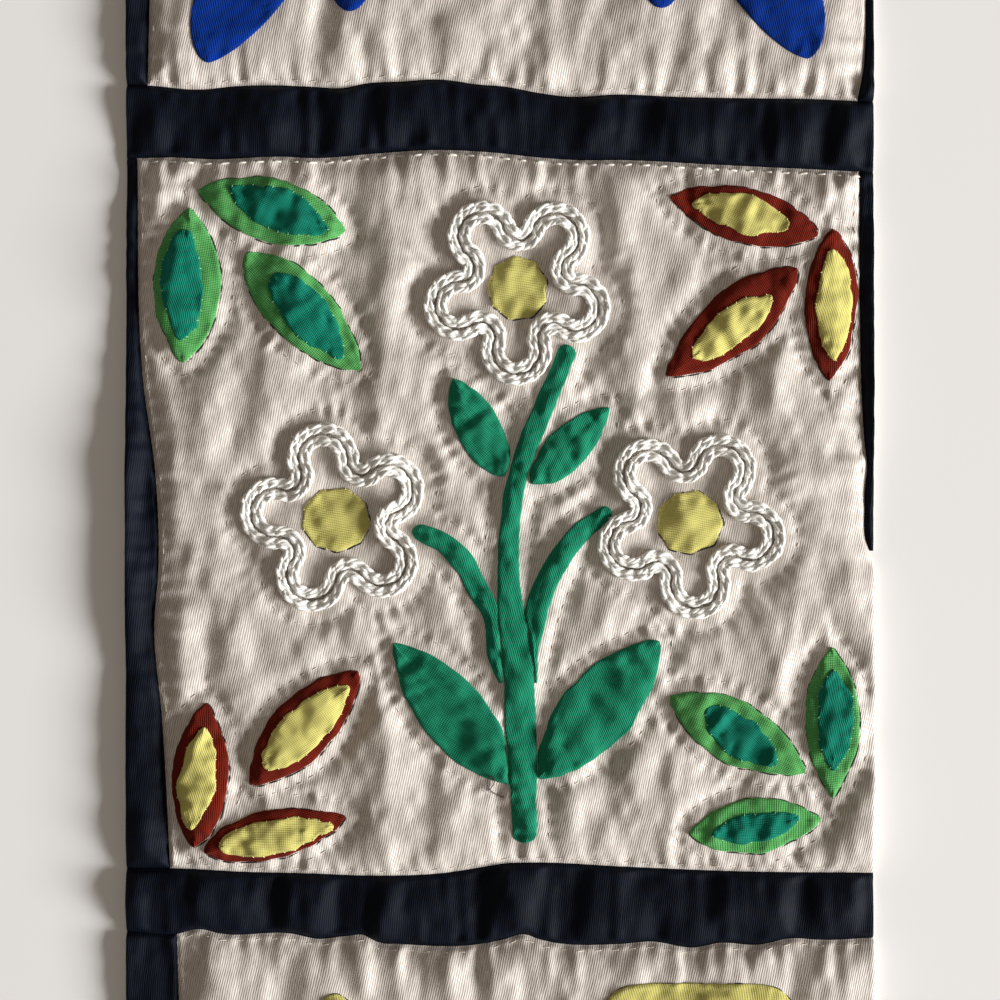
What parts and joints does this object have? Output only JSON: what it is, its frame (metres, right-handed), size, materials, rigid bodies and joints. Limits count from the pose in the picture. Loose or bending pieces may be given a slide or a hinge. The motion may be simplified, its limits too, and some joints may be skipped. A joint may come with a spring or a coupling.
{
  "type": "album quilt",
  "caption": "Cut length of a hand-sewn album quilt: a quilted cream block with cut flowers, leaves and wool outlines, framed by dark strips and the edges of its neighbours.",
  "frame": {"origin": "Middle of the flat underside, at the centre of the overall bounding box seen from above.", "axes": "+X runs across the quilt to the viewer's right, +Y runs up its face and is its longest side, +Z points out of its face."},
  "size_m": [0.2132, 0.2984, 0.0078],
  "materials": {
    "cream_sateen": "satin-woven cotton, soft sheen",
    "navy_cotton": "plain woven cotton, matte",
    "light_green_cotton": "plain woven cotton, matte",
    "teal_green_cotton": "plain woven cotton, matte",
    "emerald_cotton": "plain woven cotton, matte",
    "brick_red_cotton": "plain woven cotton, matte",
    "pale_yellow_cotton": "plain woven cotton, matte",
    "royal_blue_cotton": "plain woven cotton, matte",
    "white_wool": "loosely spun wool, fuzzy"
  },
  "bodies": {
    "root": {"ground_upper": "cream_sateen", "ground_middle": "cream_sateen", "ground_lower": "cream_sateen", "sash_upper": "navy_cotton", "sash_lower": "navy_cotton", "sash_left_upper": "navy_cotton", "sash_left_middle": "navy_cotton", "sash_left_lower": "navy_cotton", "sash_right_upper": "navy_cotton", "sash_right_middle": "navy_cotton", "leaf_upper_left_top": "light_green_cotton", "inner_leaf_upper_left_top": "teal_green_cotton", "leaf_upper_left_side": "light_green_cotton", "inner_leaf_upper_left_side": "teal_green_cotton", "leaf_upper_left_slant": "light_green_cotton", "inner_leaf_upper_left_slant": "teal_green_cotton", "leaf_upper_right_top": "brick_red_cotton", "inner_leaf_upper_right_top": "pale_yellow_cotton", "leaf_upper_right_side": "brick_red_cotton", "inner_leaf_upper_right_side": "pale_yellow_cotton", "leaf_upper_right_slant": "brick_red_cotton", "inner_leaf_upper_right_slant": "pale_yellow_cotton", "leaf_lower_left_side": "brick_red_cotton", "inner_leaf_lower_left_side": "pale_yellow_cotton", "leaf_lower_left_slant": "brick_red_cotton", "inner_leaf_lower_left_slant": "pale_yellow_cotton", "leaf_lower_left_low": "brick_red_cotton", "inner_leaf_lower_left_low": "pale_yellow_cotton", "leaf_lower_right_side": "light_green_cotton", "inner_leaf_lower_right_side": "teal_green_cotton", "leaf_lower_right_slant": "light_green_cotton", "inner_leaf_lower_right_slant": "teal_green_cotton", "leaf_lower_right_low": "light_green_cotton", "inner_leaf_lower_right_low": "teal_green_cotton", "stem": "emerald_cotton", "branch_left": "emerald_cotton", "branch_right": "emerald_cotton", "small_leaf_left": "emerald_cotton", "small_leaf_right": "emerald_cotton", "base_leaf_left": "emerald_cotton", "base_leaf_right": "emerald_cotton", "flower_centre_top": "pale_yellow_cotton", "flower_outline_top": "white_wool", "flower_centre_left": "pale_yellow_cotton", "flower_outline_left": "white_wool", "flower_centre_right": "pale_yellow_cotton", "flower_outline_right": "white_wool", "petal_left_large": "royal_blue_cotton", "petal_left_small": "royal_blue_cotton", "petal_right_small": "royal_blue_cotton", "petal_right_large": "royal_blue_cotton", "yellow_piece_small": "pale_yellow_cotton", "yellow_piece_large": "pale_yellow_cotton"}
  },
  "joints": []
}
